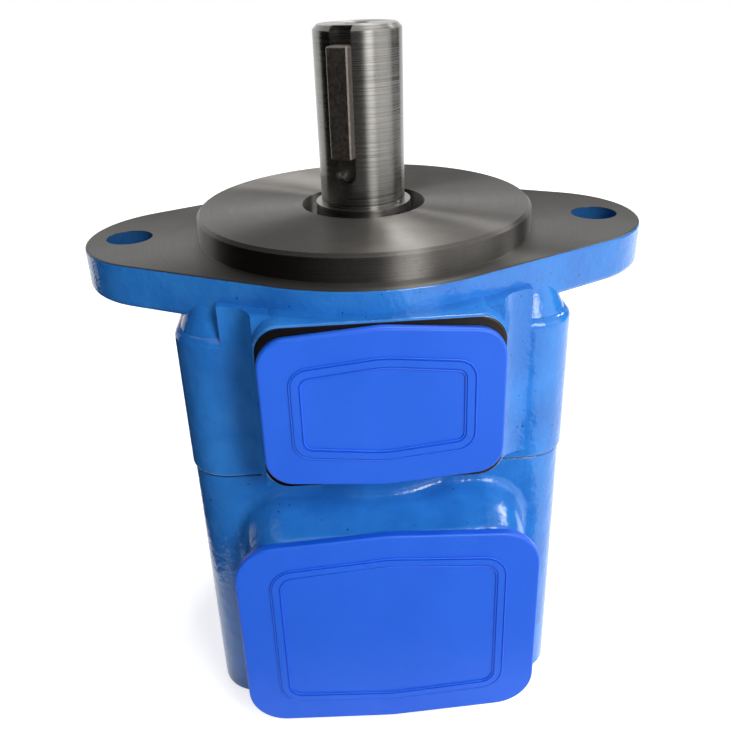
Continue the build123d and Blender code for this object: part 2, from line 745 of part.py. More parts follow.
# ---- cam ring: dwell arcs joined by smooth ramps, drawn from the cam law
ramp_steps = 6
with BuildPart() as cam_ring:
    with BuildSketch(Plane.XY.offset(ring_rear_z)):
        Circle(ring_outer_diameter / 2)
        with BuildLine():
            for quarter in range(4):
                middle = 90.0 * quarter
                radius = cam_radius(middle)
                CenterArc((0, 0), radius, middle - dwell_half_angle, 2 * dwell_half_angle)
                ramp = 90.0 - 2 * dwell_half_angle
                start = middle + dwell_half_angle
                angles = [start + ramp * i / ramp_steps for i in range(ramp_steps + 1)]
                Spline(*[polar(cam_radius(angle), angle) for angle in angles],
                       tangents=[polar(1, angles[0] + 90), polar(1, angles[-1] + 90)])
        make_face(mode=Mode.SUBTRACT)
    extrude(amount=ring_width)
    pin_holes(ring_top_z, ring_rear_z)
    screw_holes(ring_top_z, ring_rear_z, screw_hole)
cam_ring.part.label = "cam_ring"

# ---- rotor with its vane slots and splined bore
slot_width = vane_thickness + 2 * vane_side_clearance
rotor_width = ring_width - 2 * rotor_side_clearance
rotor_z = ring_rear_z + rotor_side_clearance
slot_root = vane_base_radius - slot_root_gap
with BuildPart() as rotor:
    with BuildSketch(Plane.XY.offset(rotor_z)):
        Circle(rotor_radius)
        Circle(spline_diameter / 2 - spline_tooth_height + spline_clearance, mode=Mode.SUBTRACT)
        with PolarLocations(spline_diameter / 2 - spline_tooth_height, spline_teeth):
            Rectangle(2 * (spline_tooth_height + spline_clearance),
                      spline_diameter * math.pi / spline_teeth / 2 + 2 * spline_clearance, mode=Mode.SUBTRACT)
        with PolarLocations((slot_root + rotor_radius + slot_overrun) / 2, vane_count,
                            start_angle=vane_start_angle):
            Rectangle(rotor_radius - slot_root + slot_overrun, slot_width, mode=Mode.SUBTRACT)
        with PolarLocations(slot_root, vane_count, start_angle=vane_start_angle):
            Circle(slot_root_radius, mode=Mode.SUBTRACT)
    extrude(amount=rotor_width)
rotor.part.label = "rotor"


# ---- vanes, each with a notch in its foot that slides over a small fixed insert
def make_vane(angle):
    """Vane standing in its slot at an angle, drawn in the radial plane and given its thickness."""
    with BuildPart() as vane:
        with BuildSketch(radial_plane(angle).offset(-vane_thickness / 2)):
            with Locations(((vane_base_radius + rotor_radius) / 2, 0)):
                Rectangle(vane_height, rotor_width)
            with Locations((vane_base_radius + (insert_height + insert_clearance) / 2, 0)):
                Rectangle(insert_height + insert_clearance, insert_width + 2 * insert_clearance,
                          mode=Mode.SUBTRACT)
        extrude(amount=vane_thickness)
        tip = vane.edges().filter_by(Axis.Z).sort_by_distance((*polar(2 * rotor_radius, angle), joint_z))[:2]
        fillet(tip, vane_tip_round)
    return vane.part


with BuildPart() as vane_inserts:
    for angle in vane_angles:
        with BuildSketch(radial_plane(angle).offset(-vane_thickness / 2)):
            with Locations((vane_base_radius + insert_height / 2, 0)):
                Rectangle(insert_height, insert_width)
        extrude(amount=vane_thickness)
vane_inserts.part.label = "vane_inserts"

# ---- inlet support plate, with the bushing for the shaft's tail
bushing_outer = tail_diameter / 2 + bushing_clearance + bushing_wall
with BuildPart() as inlet_support_plate:
    with BuildSketch(Plane.XY.offset(shelf_z)):
        Circle(ring_outer_diameter / 2)
        Circle(bushing_outer, mode=Mode.SUBTRACT)
    extrude(amount=inlet_plate_thickness)
    kidney_windows(inlet_plate_z, inlet_window_angles, inlet_plate_thickness)
    kidney_windows(inlet_plate_z, outlet_window_angles, pocket_depth)
    pin_holes(inlet_plate_z, inlet_plate_z - inlet_plate_thickness / 2)
    screw_holes(inlet_plate_z, shelf_z, screw_hole)
    with BuildSketch(Plane.XY.offset(shelf_z)):
        with Locations(*[polar(screw_circle_radius, angle) for angle in screw_angles]):
            Circle(screw_head_diameter / 2 + screw_clearance)
    extrude(amount=screw_head_height, mode=Mode.SUBTRACT)
inlet_support_plate.part.label = "inlet_support_plate"

with BuildPart() as shaft_bushing:
    with BuildSketch(Plane.XY.offset(shelf_z)):
        Circle(bushing_outer)
        Circle(tail_diameter / 2 + bushing_clearance, mode=Mode.SUBTRACT)
    extrude(amount=inlet_plate_thickness)
shaft_bushing.part.label = "shaft_bushing"

with BuildPart() as cartridge_pins:
    with BuildSketch(Plane.XY.offset(inlet_plate_z - inlet_plate_thickness / 2)):
        with Locations(*[polar(pin_circle_radius, angle) for angle in pin_angles]):
            Circle(pin_diameter / 2)
    extrude(amount=outlet_plate_z - blind_wall - inlet_plate_z + inlet_plate_thickness / 2)
cartridge_pins.part.label = "cartridge_pins"

with BuildPart() as cartridge_screws:
    with BuildSketch(Plane.XY.offset(shelf_z + screw_head_height)):
        with Locations(*[polar(screw_circle_radius, angle) for angle in screw_angles]):
            Circle(screw_diameter / 2)
    extrude(amount=outlet_plate_z - blind_wall - shelf_z - screw_head_height)
    with BuildSketch(Plane.XY.offset(shelf_z)):
        with Locations(*[polar(screw_circle_radius, angle) for angle in screw_angles]):
            Circle(screw_head_diameter / 2)
    extrude(amount=screw_head_height)
cartridge_screws.part.label = "cartridge_screws"


# ---- push-in plastic covers that keep dirt out of the open ports
def make_port_cap(z, width, height, corner, port_diameter, bead_inset, bead_corner, bead_squeeze):
    """Flat cover with a raised border line on its front and a hollow plug on its back."""
    back = port_face_distance + cap_stand_off
    with BuildPart() as cap:
        with BuildSketch(port_plane(back, z)):
            cap_outline(width, height, cap_peak, corner)
        extrude(amount=cap_thickness)
        fillet(cap.edges().group_by(Axis.Y)[0], cap_edge_round)
        with BuildSketch(port_plane(back + cap_thickness, z)):
            cap_outline(width - 2 * bead_inset, height - 2 * bead_inset + bead_squeeze, cap_peak,
                        bead_corner)
            offset(amount=-cap_bead_width, kind=Kind.INTERSECTION, mode=Mode.SUBTRACT)
        extrude(amount=cap_bead_height)
        with BuildSketch(port_plane(back, z)):
            Circle(port_diameter / 2 + mouth_relief - cap_plug_clearance)
            Circle(port_diameter / 2 + mouth_relief - cap_plug_clearance - cap_plug_wall,
                   mode=Mode.SUBTRACT)
        extrude(amount=-cap_plug_depth)
    return cap.part


outlet_port_cap = make_port_cap(outlet_port_z, outlet_cap_width, outlet_cap_height, outlet_cap_corner,
                                outlet_port_diameter, outlet_bead_inset, outlet_bead_corner, 0)
inlet_port_cap = make_port_cap(inlet_port_z, inlet_cap_width, inlet_cap_height, inlet_cap_corner,
                               inlet_port_diameter, inlet_bead_inset, inlet_bead_corner, inlet_bead_squeeze)
outlet_port_cap.label = "outlet_port_cap"
inlet_port_cap.label = "inlet_port_cap"

os.makedirs("parts", exist_ok=True)
for piece in (
    mounting_body, inlet_cover, cover_seal, cover_bolts, drive_shaft, shaft_key, seal_case, seal_lip,
    seal_spring, bearing_outer_race, bearing_inner_race, bearing_balls, bearing_cage,
    bearing_retaining_ring, shaft_retaining_ring, outlet_support_plate, outlet_plate_seal,
    outlet_plate_backup_ring, outlet_side_plate, inlet_side_plate, cam_ring, rotor, vane_inserts,
    inlet_support_plate, shaft_bushing, cartridge_pins, cartridge_screws,
):
    export_step(piece.part, f"parts/{piece.part.label}.step")
for cap in (outlet_port_cap, inlet_port_cap):
    export_step(cap, f"parts/{cap.label}.step")
for number, angle in enumerate(vane_angles, start=1):
    vane = make_vane(angle)
    vane.label = f"vane_{number:02d}"
    export_step(vane, f"parts/{vane.label}.step")
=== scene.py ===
# %% [markdown]
# # A vane pump, dressed for its portrait
# The pump's solids come from an engineering model, already in place and already joined so that
# they move. This lesson gives each of them the surface that the real pump has: sprayed enamel over
# cast iron, faces fresh from a lathe, a ground shaft, moulded plastic covers, and the bronze,
# rubber and hardened steel hidden inside. It also adds the fine ribs that run round the covers'
# fronts, and sets up a plain studio.

# %% Load the pump
import json
import math

import bmesh
import bpy
from mathutils import Matrix, Vector

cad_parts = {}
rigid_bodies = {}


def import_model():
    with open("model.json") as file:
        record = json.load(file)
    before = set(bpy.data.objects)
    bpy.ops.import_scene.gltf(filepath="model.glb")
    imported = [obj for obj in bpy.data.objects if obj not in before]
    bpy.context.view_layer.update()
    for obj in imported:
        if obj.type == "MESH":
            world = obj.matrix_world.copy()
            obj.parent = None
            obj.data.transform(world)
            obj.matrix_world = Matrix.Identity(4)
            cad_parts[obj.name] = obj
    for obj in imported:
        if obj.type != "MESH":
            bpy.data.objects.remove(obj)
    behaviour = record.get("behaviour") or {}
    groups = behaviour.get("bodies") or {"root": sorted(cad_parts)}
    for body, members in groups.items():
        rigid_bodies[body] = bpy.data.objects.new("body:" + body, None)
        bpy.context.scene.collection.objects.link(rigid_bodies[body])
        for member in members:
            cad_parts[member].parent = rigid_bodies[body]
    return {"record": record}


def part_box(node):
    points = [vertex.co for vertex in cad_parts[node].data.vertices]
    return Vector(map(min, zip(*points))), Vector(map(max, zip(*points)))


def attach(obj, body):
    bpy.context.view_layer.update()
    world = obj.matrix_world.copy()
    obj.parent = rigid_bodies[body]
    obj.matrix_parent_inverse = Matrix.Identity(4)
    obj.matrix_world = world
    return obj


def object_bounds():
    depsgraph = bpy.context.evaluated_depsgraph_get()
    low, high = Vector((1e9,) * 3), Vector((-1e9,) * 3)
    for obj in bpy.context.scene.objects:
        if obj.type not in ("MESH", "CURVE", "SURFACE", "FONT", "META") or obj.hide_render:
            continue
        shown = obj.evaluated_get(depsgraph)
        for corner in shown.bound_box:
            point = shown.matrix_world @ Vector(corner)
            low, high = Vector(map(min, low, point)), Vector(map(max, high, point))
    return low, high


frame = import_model()
solid_box = [list(corner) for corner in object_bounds()]
print("box of the solids, in metres:", solid_box)

# %% [markdown]
# ## The camera
# The pump stands on its rear face with the shaft up, and the camera looks at the ports from
# slightly above. A short lens close to the object makes the flange look large and the base small.
# The camera is built from its own right, up and back directions, so a small roll is easy to add.

# %% Place the camera
CAMERA_AZIMUTH = -2.62
CAMERA_ELEVATION = 26.29
CAMERA_ROLL = -2.29
CAMERA_DISTANCE = 0.3487
CAMERA_TARGET = Vector((-0.0019, 0.0, -0.0607))
LENS_MM = 40.8


def aim_camera(azimuth, elevation, roll, distance, target, lens):
    """Makes a camera that looks at target, with its picture turned by roll degrees."""
    a, e, r = (math.radians(v) for v in (azimuth, elevation, roll))
    back = Vector((math.sin(a) * math.cos(e), -math.cos(a) * math.cos(e), math.sin(e)))
    level = Vector((math.cos(a), math.sin(a), 0.0))
    upward = back.cross(level)
    right = math.cos(r) * level + math.sin(r) * upward
    up = -math.sin(r) * level + math.cos(r) * upward
    data = bpy.data.cameras.new("studio_camera")
    data.lens = lens
    data.sensor_width = 36.0
    data.clip_start = 0.01
    data.clip_end = 50.0
    camera = bpy.data.objects.new("studio_camera", data)
    bpy.context.scene.collection.objects.link(camera)
    turn = Matrix((right, up, back)).transposed().to_4x4()
    camera.matrix_world = Matrix.Translation(target + distance * back) @ turn
    bpy.context.scene.camera = camera
    return camera


camera = aim_camera(CAMERA_AZIMUTH, CAMERA_ELEVATION, CAMERA_ROLL, CAMERA_DISTANCE,
                    CAMERA_TARGET, LENS_MM)
print("camera stands at", tuple(round(v, 4) for v in camera.matrix_world.translation))

# %% [markdown]
# ## The studio
# A pale sheet under the pump, an even surrounding, and a few soft boxes. The surrounding lights
# the pump only a little, so that the soft boxes shape it, but what the camera and the polished
# metal see of it is white, as a lit paper backdrop would be. The sheet is a plain pale colour and
# takes the pump's shadow. Rays from the camera and from shiny surfaces see a little more light in
# it, just enough for the sheet to meet the white surrounding without an edge.

# %% Rays that see the backdrop itself
AMBIENT = 0.30
PAPER_TONE = 0.88


def sees_backdrop(nodes, links):
    """1 for rays from the camera, from mirrors and through glass; 0 for rays that carry light."""
    path = nodes.new("ShaderNodeLightPath")
    either = nodes.new("ShaderNodeMath")
    either.operation = "MAXIMUM"
    any_of = nodes.new("ShaderNodeMath")
    any_of.operation = "MAXIMUM"
    links.new(path.outputs["Is Camera Ray"], either.inputs[0])
    links.new(path.outputs["Is Glossy Ray"], either.inputs[1])
    links.new(either.outputs[0], any_of.inputs[0])
    links.new(path.outputs["Is Transmission Ray"], any_of.inputs[1])
    return any_of.outputs[0]


print("paper", PAPER_TONE, "ambient", AMBIENT)

# %% Floor
FLOOR_SIZE = 160.0
FLOOR_GAP = 0.0002
BASE_LEVEL = solid_box[0][2]


def plain_floor(level):
    """A very large flat sheet at a height level."""
    bm = bmesh.new()
    bmesh.ops.create_grid(bm, x_segments=1, y_segments=1, size=FLOOR_SIZE / 2)
    bmesh.ops.translate(bm, verts=bm.verts, vec=(0, 0, level))
    mesh = bpy.data.meshes.new("paper_floor")
    bm.to_mesh(mesh)
    bm.free()
    floor = bpy.data.objects.new("paper_floor", mesh)
    bpy.context.scene.collection.objects.link(floor)
    paper = bpy.data.materials.new("white_paper")
    paper.use_nodes = True
    nodes, links = paper.node_tree.nodes, paper.node_tree.links
    nodes.clear()
    out = nodes.new("ShaderNodeOutputMaterial")
    matt = nodes.new("ShaderNodeBsdfDiffuse")
    matt.inputs["Color"].default_value = (PAPER_TONE, PAPER_TONE, PAPER_TONE, 1)
    glow = nodes.new("ShaderNodeEmission")
    glow.inputs["Strength"].default_value = 1.0 - AMBIENT * PAPER_TONE
    unlit = nodes.new("ShaderNodeEmission")
    unlit.inputs["Strength"].default_value = 0.0
    choose = nodes.new("ShaderNodeMixShader")
    both = nodes.new("ShaderNodeAddShader")
    links.new(sees_backdrop(nodes, links), choose.inputs[0])
    links.new(unlit.outputs[0], choose.inputs[1])
    links.new(glow.outputs[0], choose.inputs[2])
    links.new(matt.outputs[0], both.inputs[0])
    links.new(choose.outputs[0], both.inputs[1])
    links.new(both.outputs[0], out.inputs[0])
    mesh.materials.append(paper)


plain_floor(BASE_LEVEL - FLOOR_GAP)
print("floor level:", round(BASE_LEVEL - FLOOR_GAP, 4))

# %% World
def white_world(ambient):
    """Even light for the object, and white for whatever sees the surrounding directly."""
    world = bpy.data.worlds.new("studio_world")
    bpy.context.scene.world = world
    world.use_nodes = True
    nodes, links = world.node_tree.nodes, world.node_tree.links
    nodes.clear()
    out = nodes.new("ShaderNodeOutputWorld")
    mix = nodes.new("ShaderNodeMixShader")
    lit = nodes.new("ShaderNodeBackground")
    seen = nodes.new("ShaderNodeBackground")
    lit.inputs["Color"].default_value = (1, 1, 1, 1)
    lit.inputs["Strength"].default_value = ambient
    seen.inputs["Color"].default_value = (1, 1, 1, 1)
    seen.inputs["Strength"].default_value = 1.0
    links.new(sees_backdrop(nodes, links), mix.inputs[0])
    links.new(lit.outputs[0], mix.inputs[1])
    links.new(seen.outputs[0], mix.inputs[2])
    links.new(mix.outputs[0], out.inputs[0])


white_world(AMBIENT)
print("ambient level:", AMBIENT)

# %% Soft boxes
PUMP_MIDDLE = (0.0, 0.0, -0.06)


def facing(place, aim, front):
    """Where a thing stands when it is at place and its front axis points to aim."""
    way = (Vector(aim) - Vector(place)).normalized()
    return Matrix.Translation(place) @ way.to_track_quat(front, "Y").to_matrix().to_4x4()


def soft_box(name, place, width, height, watts):
    """A rectangular area lamp at place that faces the pump."""
    data = bpy.data.lights.new(name, "AREA")
    data.shape = "RECTANGLE"
    data.size = width
    data.size_y = height
    data.energy = watts
    lamp = bpy.data.objects.new(name, data)
    bpy.context.scene.collection.objects.link(lamp)
    lamp.matrix_world = facing(place, PUMP_MIDDLE, "-Z")


soft_box("front_window", (0.453, -0.852, 0.567), width=0.34, height=0.60, watts=8.8)
soft_box("right_sheet", (0.94, -0.44, 0.32), width=0.70, height=0.70, watts=1.6)
soft_box("high_window", (0.22, 0.57, 0.89), width=0.25, height=0.25, watts=4.5)
soft_box("side_strip", (0.765, 0.348, 0.494), width=0.06, height=0.30, watts=2.0)

# %% [markdown]
# Polished and painted surfaces also mirror what stands round the pump. In a plain white room they
# would look milky, so dark cards stand at both sides and beside the camera, and two dark mats lie
# on the floor. The left card also keeps light from the pump's left side. The others are seen only
# in mirrors, and the camera sees none of them.

# %% Dark cards
FELT = (0.02, 0.02, 0.02)


def dark_card(name, place, aim, width, height, blocks_light=False):
    """A flat dark card at place that faces aim, out of the camera's sight."""
    bm = bmesh.new()
    bmesh.ops.create_grid(bm, x_segments=1, y_segments=1, size=0.5)
    bmesh.ops.scale(bm, verts=bm.verts, vec=(width, height, 1))
    bm.transform(facing(place, aim, "Z"))
    mesh = bpy.data.meshes.new(name)
    bm.to_mesh(mesh)
    bm.free()
    card = bpy.data.objects.new(name, mesh)
    bpy.context.scene.collection.objects.link(card)
    felt = bpy.data.materials.new(name + "_felt")
    felt.use_nodes = True
    nodes, links = felt.node_tree.nodes, felt.node_tree.links
    nodes.clear()
    out = nodes.new("ShaderNodeOutputMaterial")
    matt = nodes.new("ShaderNodeBsdfDiffuse")
    matt.inputs["Color"].default_value = (*FELT, 1)
    links.new(matt.outputs[0], out.inputs[0])
    mesh.materials.append(felt)
    card.visible_camera = False
    card.visible_diffuse = blocks_light
    card.visible_shadow = blocks_light


def dark_mat(name, x, y, width, depth):
    """A dark card that lies on the floor and faces up."""
    dark_card(name, (x, y, BASE_LEVEL), (x, y, 1.0), width, depth)


dark_card("left_card", (-0.62, -0.20, 0.10), PUMP_MIDDLE, 1.3, 1.3, blocks_light=True)
dark_card("camera_side_card", (-0.35, -1.5, 0.30), PUMP_MIDDLE, 1.5, 1.4)
dark_card("right_card", (0.95, 0.35, 0.10), PUMP_MIDDLE, 0.7, 1.0)
dark_mat("front_mat", -0.40, -0.62, 1.1, 1.02)
dark_mat("left_mat", -0.66, 0.10, 1.04, 0.42)

# %% [markdown]
# ## Building blocks for finishes
# Each finish is a small network of nodes. The helpers below add one node at a time and join it to
# what came before, so that a finish reads as a short list. All patterns use Object coordinates:
# the pieces keep their origin at the pump's origin, so a length in metres in the pattern is a
# length in metres on the pump.

# %% Node helpers
QUARTER_TURN = 0.25


def new_finish(name):
    """An empty material with its output node."""
    finish = bpy.data.materials.new(name)
    finish.use_nodes = True
    finish.node_tree.nodes.clear()
    finish.node_tree.nodes.new("ShaderNodeOutputMaterial")
    return finish


def add(finish, kind, **settings):
    """Adds a node and sets the properties given by name."""
    node = finish.node_tree.nodes.new(kind)
    for key, value in settings.items():
        setattr(node, key, value)
    return node


def join(finish, source, target):
    """Links an output to an input."""
    finish.node_tree.links.new(source, target)


def split(finish, vector):
    """The X, Y and Z values of a vector."""
    apart = add(finish, "ShaderNodeSeparateXYZ")
    join(finish, vector, apart.inputs[0])
    return apart.outputs["X"], apart.outputs["Y"], apart.outputs["Z"]


def place_values(finish):
    """X, Y and Z of the point on the pump, in metres."""
    return split(finish, add(finish, "ShaderNodeTexCoord").outputs["Object"])


def place_on(finish, stretch=(1, 1, 1)):
    """The point's place on the pump, in metres, stretched along the axes where asked."""
    where = add(finish, "ShaderNodeTexCoord")
    spread = add(finish, "ShaderNodeMapping")
    spread.inputs["Scale"].default_value = stretch
    join(finish, where.outputs["Object"], spread.inputs["Vector"])
    return spread.outputs["Vector"]


def cloud(finish, size_mm, detail=4.0, stretch=(1, 1, 1), roughness=0.55):
    """Noise whose lumps are about size_mm across."""
    noise = add(finish, "ShaderNodeTexNoise")
    noise.inputs["Scale"].default_value = 1000.0 / size_mm
    noise.inputs["Detail"].default_value = detail
    noise.inputs["Roughness"].default_value = roughness
    join(finish, place_on(finish, stretch), noise.inputs["Vector"])
    return noise.outputs["Fac"]


def ramp(finish, source, stops):
    """Colours along a value: stops are (place, grey or colour)."""
    node = add(finish, "ShaderNodeValToRGB")
    elements = node.color_ramp.elements
    while len(elements) < len(stops):
        elements.new(0.5)
    for element, (place, tone) in zip(elements, stops):
        element.position = place
        colour = tone if isinstance(tone, tuple) else (tone, tone, tone)
        element.color = (*colour, 1)
    join(finish, source, node.inputs["Fac"])
    return node.outputs["Color"]


def feed(finish, value, target):
    """Sets an input from a number, a colour or another node's output."""
    if isinstance(value, bpy.types.NodeSocket):
        join(finish, value, target)
    else:
        target.default_value = (*value, 1) if isinstance(value, tuple) else value


def blend(finish, amount, first, second):
    """Mixes two colours by an amount."""
    node = add(finish, "ShaderNodeMix", data_type="RGBA")
    for slot, value in ((0, amount), (6, first), (7, second)):
        feed(finish, value, node.inputs[slot])
    return node.outputs[2]


def sums(finish, kind, first, second=0.0):
    """One step of arithmetic on values."""
    node = add(finish, "ShaderNodeMath", operation=kind)
    feed(finish, first, node.inputs[0])
    feed(finish, second, node.inputs[1])
    return node.outputs[0]


def bumps(finish, height, depth_mm, below=None):
    """Turns a height pattern into tilted normals; depth_mm is the full height of the pattern."""
    node = add(finish, "ShaderNodeBump")
    node.inputs["Strength"].default_value = 1.0
    node.inputs["Distance"].default_value = depth_mm / 1000.0
    join(finish, height, node.inputs["Height"])
    if below is not None:
        join(finish, below, node.inputs["Normal"])
    return node.outputs["Normal"]


def shader(finish, colour, roughness, normal, metal=0.0, **constants):
    """A Principled shader; constants name further inputs, with _ for each space."""
    node = add(finish, "ShaderNodeBsdfPrincipled")
    feed(finish, colour, node.inputs["Base Color"])
    feed(finish, roughness, node.inputs["Roughness"])
    join(finish, normal, node.inputs["Normal"])
    node.inputs["Metallic"].default_value = metal
    for key, value in constants.items():
        node.inputs[key.replace("_", " ")].default_value = value
    return node


def show(finish, node):
    """Sends a shader to the material's output."""
    out = next(n for n in finish.node_tree.nodes if n.type == "OUTPUT_MATERIAL")
    join(finish, node.outputs[0], out.inputs["Surface"])
    return finish


def turned_metal(finish, colour, roughness, normal, streak):
    """Metal with marks round the shaft's axis, which stretch its highlights across the marks."""
    where = add(finish, "ShaderNodeTexCoord")
    around = add(finish, "ShaderNodeVectorMath", operation="CROSS_PRODUCT")
    around.inputs[0].default_value = (0, 0, 1)
    join(finish, where.outputs["Object"], around.inputs[1])
    tool_path = add(finish, "ShaderNodeVectorTransform", vector_type="VECTOR",
                    convert_from="OBJECT", convert_to="WORLD")
    join(finish, around.outputs[0], tool_path.inputs[0])
    node = shader(finish, colour, roughness, normal, metal=1.0, Anisotropic=streak,
                  Anisotropic_Rotation=QUARTER_TURN)
    join(finish, tool_path.outputs[0], node.inputs["Tangent"])
    return node


print("helpers ready")

# %% [markdown]
# ## Machined cast iron
# The pilot and the flange face are turned on a lathe. Each turning mark is a fine groove round the
# axis, so the metal mirrors light in a fan: bright where the grooves face a lamp, dark elsewhere.
# A picture of a fan would be wrong from any other side. An anisotropic shader, told which way the
# tool ran, gives the fan by itself. Iron also shows faint darker flecks of graphite. The port
# faces are given a near-black iron: painted shade for the narrow gap behind the covers.

# %% Turned iron
PORT_FACE_REACH = -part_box("mounting_body")[0][1]
# radii and reaches over which one machined face gives way to the next
PILOT_TO_FLANGE = (0.0636, 0.0640)
FLANGE_TO_PORT_FACE = (PORT_FACE_REACH - 0.0012, PORT_FACE_REACH - 0.0006)
PILOT_IRON_DARK = (0.10, 0.095, 0.088)
PILOT_IRON = (0.17, 0.16, 0.15)
STAINED_IRON = (0.062, 0.0589, 0.05456)
GRAPHITE = (0.05, 0.045, 0.04)
FLANGE_IRON_DARK = (0.050, 0.048, 0.043)
FLANGE_IRON = (0.110, 0.106, 0.098)
# painted shade: a near-black iron for the port faces, standing in for the shade in the gap behind
# the covers
PORT_FACE_PAINTED_SHADE = (0.040, 0.033, 0.027)
GROOVE_SCALE = 2600.0


def soft_step(finish, value, start, end):
    """0 up to start, 1 from end on, smooth between; end may be the smaller of the two."""
    node = add(finish, "ShaderNodeMapRange", interpolation_type="SMOOTHSTEP")
    node.inputs["From Min"].default_value = start
    node.inputs["From Max"].default_value = end
    join(finish, value, node.inputs["Value"])
    return node.outputs["Result"]


def distance(finish, first, second):
    """Length of the line across two values at a right angle."""
    return sums(finish, "SQRT", sums(finish, "ADD", sums(finish, "MULTIPLY", first, first),
                                     sums(finish, "MULTIPLY", second, second)))


def turned_iron_shader(finish):
    """Shader for lathe-turned cast iron round the shaft's axis, with painted shade on the port
    faces.
    """
    x, y, z = place_values(finish)
    radius = distance(finish, x, y)
    ring_place = add(finish, "ShaderNodeCombineXYZ")
    join(finish, radius, ring_place.inputs["X"])
    join(finish, z, ring_place.inputs["Z"])
    rings = add(finish, "ShaderNodeTexNoise")
    rings.inputs["Scale"].default_value = GROOVE_SCALE
    rings.inputs["Detail"].default_value = 3.0
    join(finish, ring_place.outputs[0], rings.inputs["Vector"])
    grooves = rings.outputs["Fac"]
    flecks = cloud(finish, 1.6, detail=6.0)
    stains = cloud(finish, 22.0, detail=3.0)
    tone = ramp(finish, grooves, ((0.3, PILOT_IRON_DARK), (0.7, PILOT_IRON)))
    tone = blend(finish, ramp(finish, stains, ((0.35, 0.0), (0.75, 0.45))), tone, STAINED_IRON)
    tone = blend(finish, ramp(finish, flecks, ((0.28, 0.35), (0.42, 0.0))), tone, GRAPHITE)
    tone = blend(finish, soft_step(finish, radius, *PILOT_TO_FLANGE), tone,
                 blend(finish, stains, FLANGE_IRON_DARK, FLANGE_IRON))
    forward = sums(finish, "MULTIPLY", y, -1.0)
    # Painted shade: the port faces are darkened towards near-black iron, in place of the shade
    # behind the covers.
    tone = blend(finish, soft_step(finish, forward, *FLANGE_TO_PORT_FACE), tone, PORT_FACE_PAINTED_SHADE)
    rough = ramp(finish, grooves, ((0.3, 0.42), (0.7, 0.54)))
    return turned_metal(finish, tone, rough, bumps(finish, grooves, 0.002), streak=1.0)


turned_iron = new_finish("turned_iron")
show(turned_iron, turned_iron_shader(turned_iron))
print("turned iron ready")

# %% [markdown]
# ## Sky-blue enamel
# The castings are sprayed with a thick gloss enamel after machining, with the flange face, pilot
# and port faces masked or wiped clean. Under the paint the sand-cast skin still shows as soft
# lumps, and the paint itself dries with a fine orange peel. One material does both finishes: it
# works out from the point's place whether a machined face or paint is there, and lets the border
# wander a little, as a masked edge does.

# %% Where the casting is bare
# pairs of values: where paint ends, and where iron is fully bare
FLANGE_LEVEL = (-0.0006, -0.0004)
FLANGE_TILT = (0.5, 0.8)
PILOT_LEVEL = (-0.0003, -0.0001)
PORT_FACE_PLACE = (PORT_FACE_REACH - 0.0003, PORT_FACE_REACH - 0.0001)
PORT_FACE_TILT = (0.8, 0.9)
BORE_WALL = (0.0540, 0.0538)
BORE_FLOOR = (-0.1800, -0.1790)
PORT_DEPTH = (PORT_FACE_REACH - 0.0260, PORT_FACE_REACH - 0.0255)
HOLE_FADE = 0.0002
EDGE_WANDER = 0.0012
# level, reach of the bore, places of the four tapped holes from the port's axis, and their reach
PORTS = ((-0.0381, 0.0170, 0.02935, 0.0151, 0.0049), (-0.1332, 0.0275, 0.0389, 0.02145, 0.0056))


def beyond(finish, value, start):
    """How far a value is beyond a number."""
    return sums(finish, "SUBTRACT", value, start)


def beyond_pair(finish, value, start):
    """How far a value is from zero, either way, beyond a number."""
    return beyond(finish, sums(finish, "ABSOLUTE", value), start)


def bare_share(finish):
    """1 on machined faces and inside bores, 0 on painted skin."""
    x, y, z = place_values(finish)
    _, tilt_y, tilt_z = split(finish, add(finish, "ShaderNodeNewGeometry").outputs["Normal"])
    wander = sums(finish, "MULTIPLY", beyond(finish, cloud(finish, 5.0), 0.5), EDGE_WANDER)
    flange_level = soft_step(finish, sums(finish, "ADD", z, wander), *FLANGE_LEVEL)
    flange_face = sums(finish, "MULTIPLY", flange_level, soft_step(finish, tilt_z, *FLANGE_TILT))
    pilot = soft_step(finish, z, *PILOT_LEVEL)
    forward = sums(finish, "MULTIPLY", y, -1.0)
    facing_front = soft_step(finish, sums(finish, "MULTIPLY", tilt_y, -1.0), *PORT_FACE_TILT)
    port_face = sums(finish, "MULTIPLY", soft_step(finish, forward, *PORT_FACE_PLACE),
                     facing_front)
    bore = sums(finish, "MULTIPLY", soft_step(finish, distance(finish, x, y), *BORE_WALL),
                soft_step(finish, z, *BORE_FLOOR))
    most = bore
    for share in (flange_face, pilot, port_face):
        most = sums(finish, "MAXIMUM", most, share)
    in_port = soft_step(finish, forward, *PORT_DEPTH)
    for port_level, port_reach, hole_x, hole_z, hole_reach in PORTS:
        off_axis = beyond(finish, z, port_level)
        from_axis = distance(finish, x, off_axis)
        from_hole = distance(finish, beyond_pair(finish, x, hole_x),
                             beyond_pair(finish, off_axis, hole_z))
        for away, reach in ((from_axis, port_reach), (from_hole, hole_reach)):
            drilled = soft_step(finish, away, reach + HOLE_FADE, reach)
            most = sums(finish, "MAXIMUM", most, sums(finish, "MULTIPLY", drilled, in_port))
    return most


print("paint stops at", round(PORT_FACE_REACH, 4), "and at the flange face")

# %% Enamel over cast iron
ENAMEL = (0.030, 0.235, 0.70)
ENAMEL_DEEP = (0.020, 0.175, 0.58)
ENAMEL_GRIMY = (0.035, 0.13, 0.36)
# painted shade: a deep blue that darkens the walls of the bolt holes, where shade falls
BOLT_HOLE_PAINTED_SHADE = (0.012, 0.045, 0.11)
DIRT = (0.006, 0.010, 0.018)
SEAM_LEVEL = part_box("inlet_cover")[1][2]
SEAM_DIRT = (0.0009, 0.0001)
BOLT_HOLE_X = 0.0905
BOLT_HOLE_WALL = (0.0091, 0.0088)
BOLT_HOLE_SHADE = 0.8


